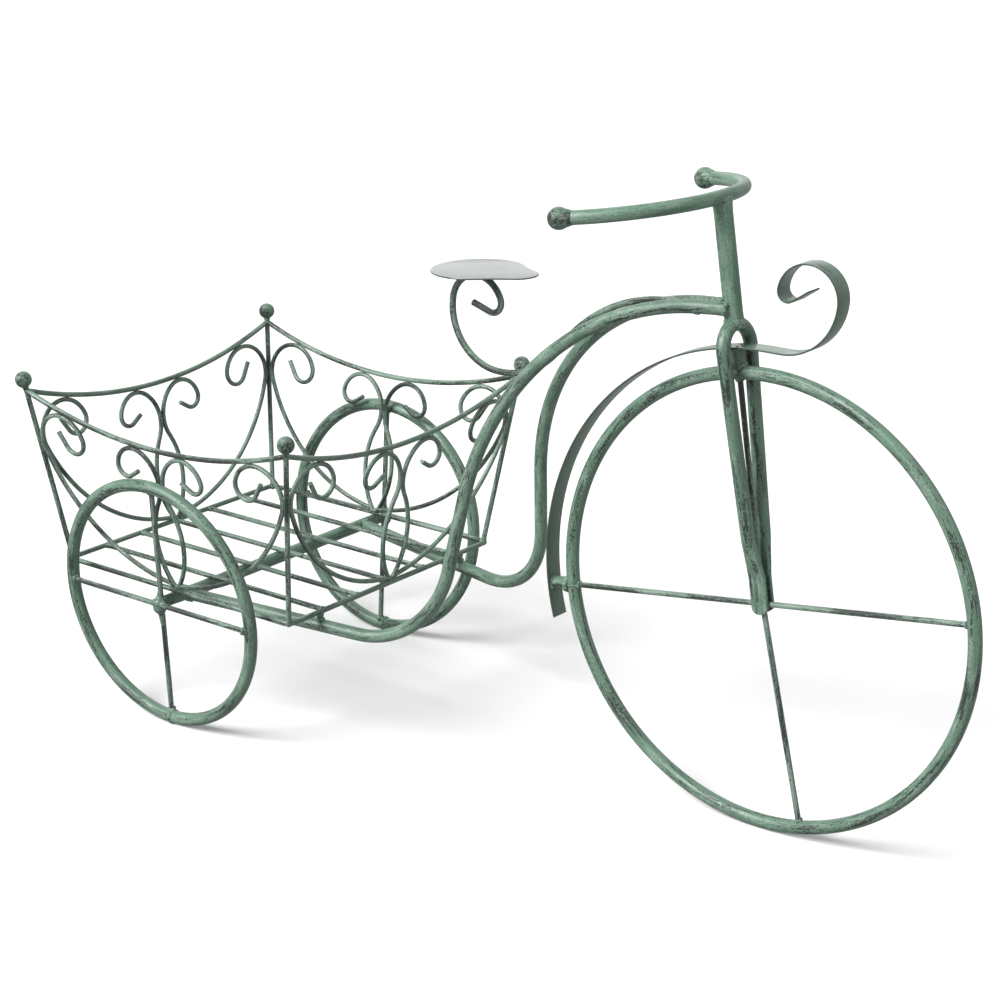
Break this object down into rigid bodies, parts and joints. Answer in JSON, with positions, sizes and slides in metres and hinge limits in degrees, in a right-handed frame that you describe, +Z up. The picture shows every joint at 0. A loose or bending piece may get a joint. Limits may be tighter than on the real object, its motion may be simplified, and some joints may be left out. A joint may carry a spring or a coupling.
{
  "type": "plant stand",
  "caption": "Tricycle-shaped plant stand of bent iron tube: a square scrollwork basket between small rear wheels, a large front wheel with curled mudguard, handlebar and saddle.",
  "frame": {"origin": "on the ground, under the middle of the length and of the track", "axes": "+X forward to the front wheel, +Y to the rider's left, +Z up"},
  "size_m": [0.935, 0.352, 0.5517],
  "materials": {
    "paint": "semi-gloss sage green, rubbed through to dark metal on edges and welds"
  },
  "bodies": {
    "root": {"base_rod": "paint", "basket_lug_left": "paint", "basket_lug_right": "paint", "finial_front_left": "paint", "finial_front_right": "paint", "finial_rear_left": "paint", "finial_rear_right": "paint", "fork": "paint", "frame_tube_left": "paint", "frame_tube_right": "paint", "front_rim": "paint", "front_spoke_down": "paint", "front_spoke_level": "paint", "front_spoke_up": "paint", "handlebar": "paint", "handlebar_ball_left": "paint", "handlebar_ball_right": "paint", "mudguard": "paint", "mudguard_stub_rear": "paint", "mudguard_stub_top": "paint", "post_front_left": "paint", "post_front_right": "paint", "post_rear_left": "paint", "post_rear_right": "paint", "rail_front": "paint", "rail_left": "paint", "rail_rear": "paint", "rail_right": "paint", "rear_axle": "paint", "rear_rim_left": "paint", "rear_rim_right": "paint", "rear_spoke_level_left": "paint", "rear_spoke_level_right": "paint", "rear_spoke_upright_left": "paint", "rear_spoke_upright_right": "paint", "saddle": "paint", "saddle_rod": "paint", "scroll_front_inner_1": "paint", "scroll_front_inner_2": "paint", "scroll_front_outer_1": "paint", "scroll_front_outer_2": "paint", "scroll_left_inner_1": "paint", "scroll_left_inner_2": "paint", "scroll_left_outer_1": "paint", "scroll_left_outer_2": "paint", "scroll_rear_inner_1": "paint", "scroll_rear_inner_2": "paint", "scroll_rear_outer_1": "paint", "scroll_rear_outer_2": "paint", "scroll_right_inner_1": "paint", "scroll_right_inner_2": "paint", "scroll_right_outer_1": "paint", "scroll_right_outer_2": "paint", "slat_1": "paint", "slat_2": "paint", "slat_3": "paint", "slat_4": "paint", "slat_5": "paint", "stem": "paint"}
  },
  "joints": []
}
